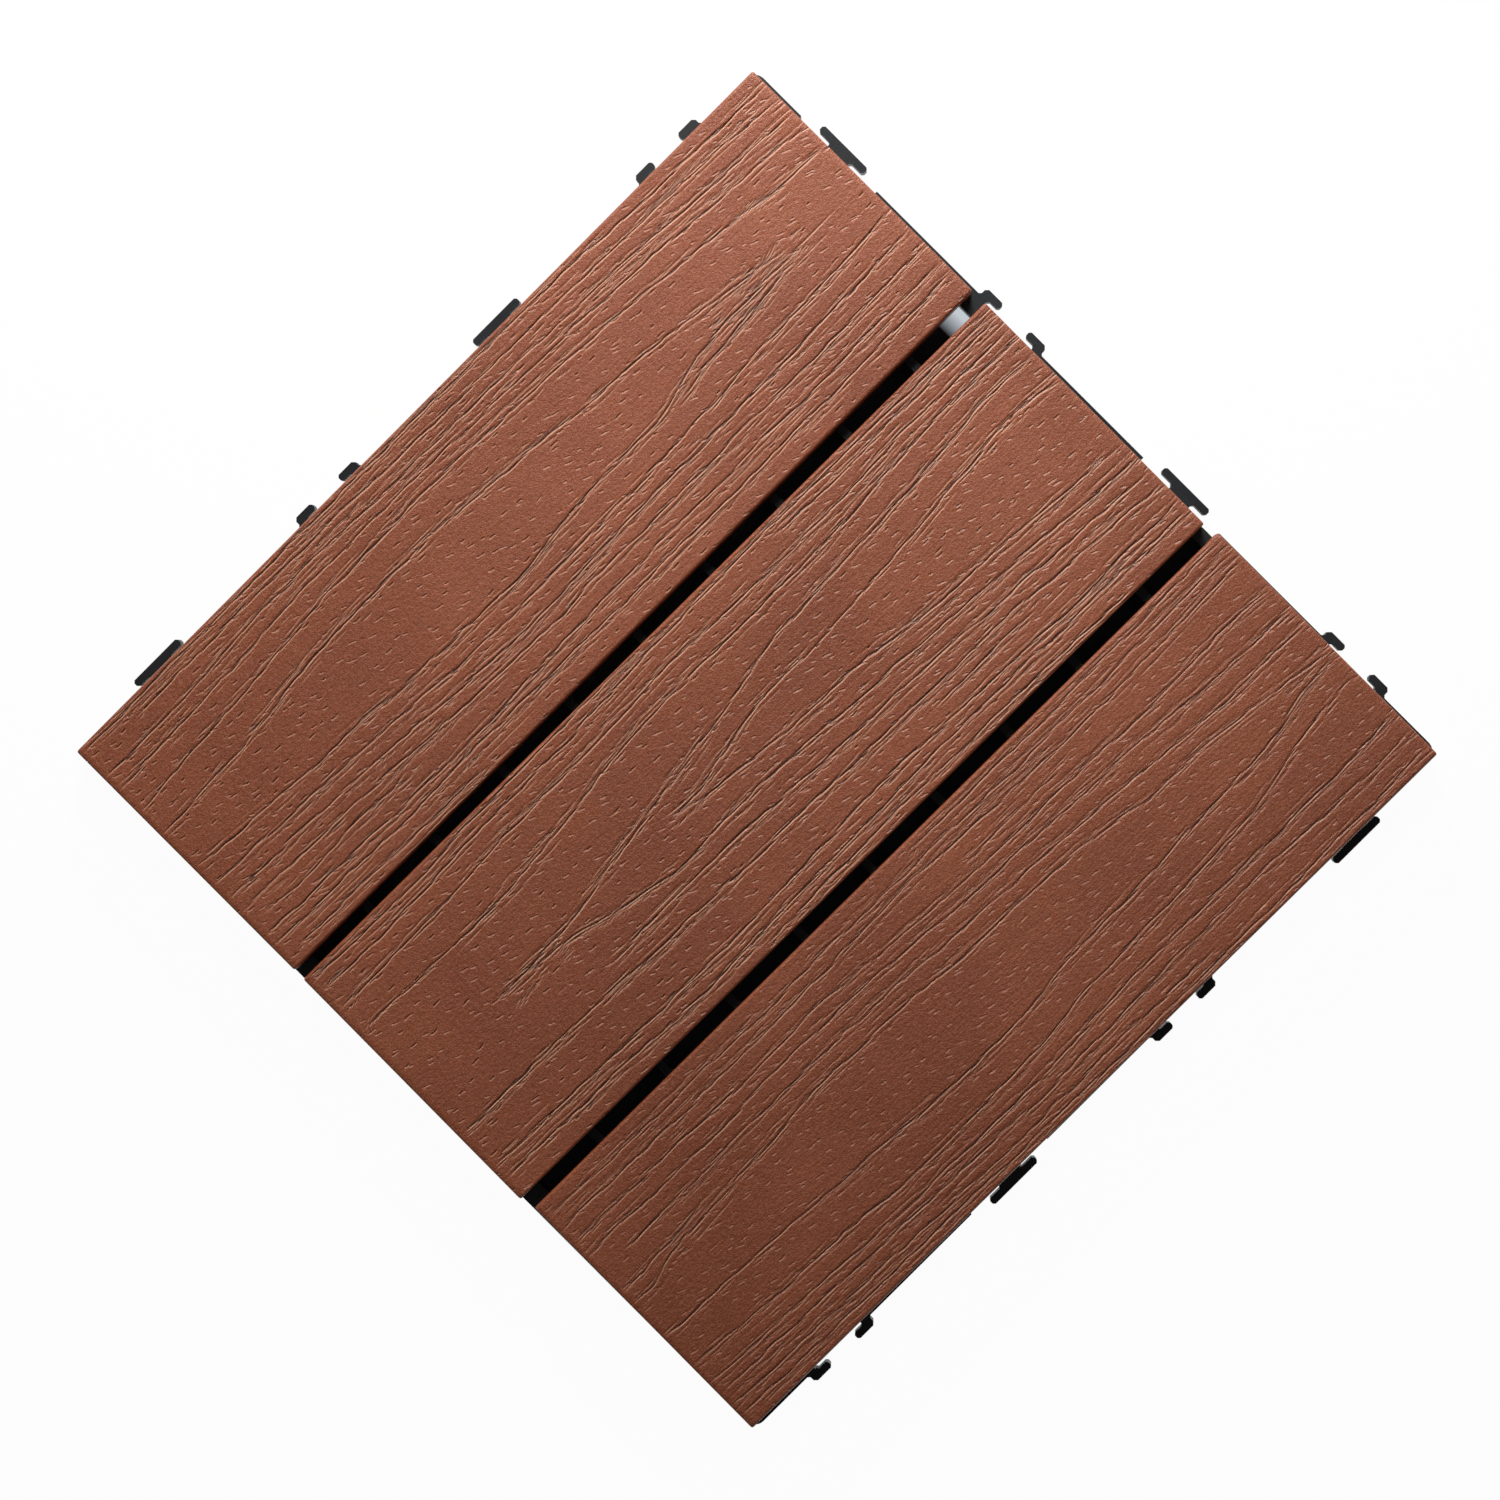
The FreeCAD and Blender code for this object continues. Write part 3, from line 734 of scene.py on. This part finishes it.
def make_screws(material):
    """Every screw at the place of its solid, with its cross recess and thread."""
    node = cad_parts["board_screws"]
    low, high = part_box("board_screws")
    points = [Vector(v.co) for v in node.data.vertices]
    tip = max(p.z for p in points)
    places = sorted({(round(p.x, 5), round(p.y, 5)) for p in points if p.z > tip - 1e-6})
    verts, faces = screw_body((high[2] - low[2]) / MM - HEAD_HEIGHT)
    mesh = bpy.data.meshes.new("screw")
    mesh.from_pydata(verts, [], faces)
    single = bpy.data.objects.new("screw", mesh)
    cutter = cross_cutter()
    for obj in (single, cutter):
        bpy.context.scene.collection.objects.link(obj)
    cut = single.modifiers.new("recess", "BOOLEAN")
    cut.object = cutter
    cut.solver = "EXACT"
    evaluated = single.evaluated_get(bpy.context.evaluated_depsgraph_get())
    cut_mesh = bpy.data.meshes.new_from_object(evaluated)
    for obj in (single, cutter):
        bpy.data.objects.remove(obj)
    work = bmesh.new()
    for i, (x, y) in enumerate(places):
        turn = Matrix.Rotation(math.radians(37 * i), 4, "Z")
        place = Matrix.Translation((x, y, low[2])) @ turn @ Matrix.Scale(MM, 4)
        before = len(work.verts)
        work.from_mesh(cut_mesh)
        work.verts.ensure_lookup_table()
        bmesh.ops.transform(work, matrix=place, verts=work.verts[before:])
    joined = bpy.data.meshes.new("pan_screws")
    work.to_mesh(joined)
    work.free()
    joined.materials.clear()
    joined.materials.append(material)
    joined.set_sharp_from_angle(angle=math.radians(35))
    joined.polygons.foreach_set("use_smooth", [True] * len(joined.polygons))
    screws = bpy.data.objects.new("pan_screws", joined)
    bpy.context.scene.collection.objects.link(screws)
    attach(screws, "root")
    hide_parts("board_screws")


# ---------- stage ----------

def make_floor():
    """The pale floor that the tile lies on."""
    half = FLOOR_HALF
    verts = [(-half, -half, 0), (half, -half, 0), (half, half, 0), (-half, half, 0)]
    floor = mesh_object("floor", verts, [(0, 1, 2, 3)], floor_material(), smooth=False)


def look_from(location, target, up):
    """Matrix of a lamp or camera at a place, facing a target."""
    back = (Vector(location) - Vector(target)).normalized()
    right = Vector(up).cross(back).normalized()
    upward = back.cross(right)
    turn = Matrix((right, upward, back)).transposed().to_4x4()
    return Matrix.Translation(Vector(location)) @ turn


def make_lamp(name, location, size, power, colour):
    """Round soft lamp that faces the middle of the tile's top."""
    light = bpy.data.lights.new(name, "AREA")
    light.shape = "DISK"
    light.size = size
    light.energy = power
    light.color = colour
    lamp = bpy.data.objects.new(name, light)
    lamp.matrix_world = look_from(location, TILE_TOP, (0, 0.01, 1))
    bpy.context.scene.collection.objects.link(lamp)


def make_world():
    """Even white surroundings."""
    world = bpy.data.worlds.new("studio")
    world.use_nodes = True
    background = world.node_tree.nodes["Background"]
    background.inputs["Color"].default_value = (1.0, 1.0, 1.0, 1)
    background.inputs["Strength"].default_value = WORLD_STRENGTH
    bpy.context.scene.world = world


def make_camera():
    """Camera above the tile, turned so that the boards run from lower left to upper right."""
    data = bpy.data.cameras.new("camera")
    data.sensor_width = SENSOR_WIDTH
    data.lens = SENSOR_WIDTH / 2 / math.tan(math.radians(VIEW_ANGLE / 2))
    data.shift_x, data.shift_y = SHIFT
    data.clip_start = 0.01
    data.clip_end = 60.0
    camera = bpy.data.objects.new("camera", data)
    camera.matrix_world = look_from(CAMERA_PLACE, TILE_TOP, CAMERA_UP)
    bpy.context.scene.collection.objects.link(camera)
    bpy.context.scene.camera = camera


composite = board_material()
for board in BOARDS:
    make_board(*board, composite)
make_base(plastic_material())
make_screws(steel_material())
make_floor()
for lamp in LAMPS:
    make_lamp(*lamp)
make_world()
make_camera()
bpy.context.scene.view_settings.view_transform = "Standard"
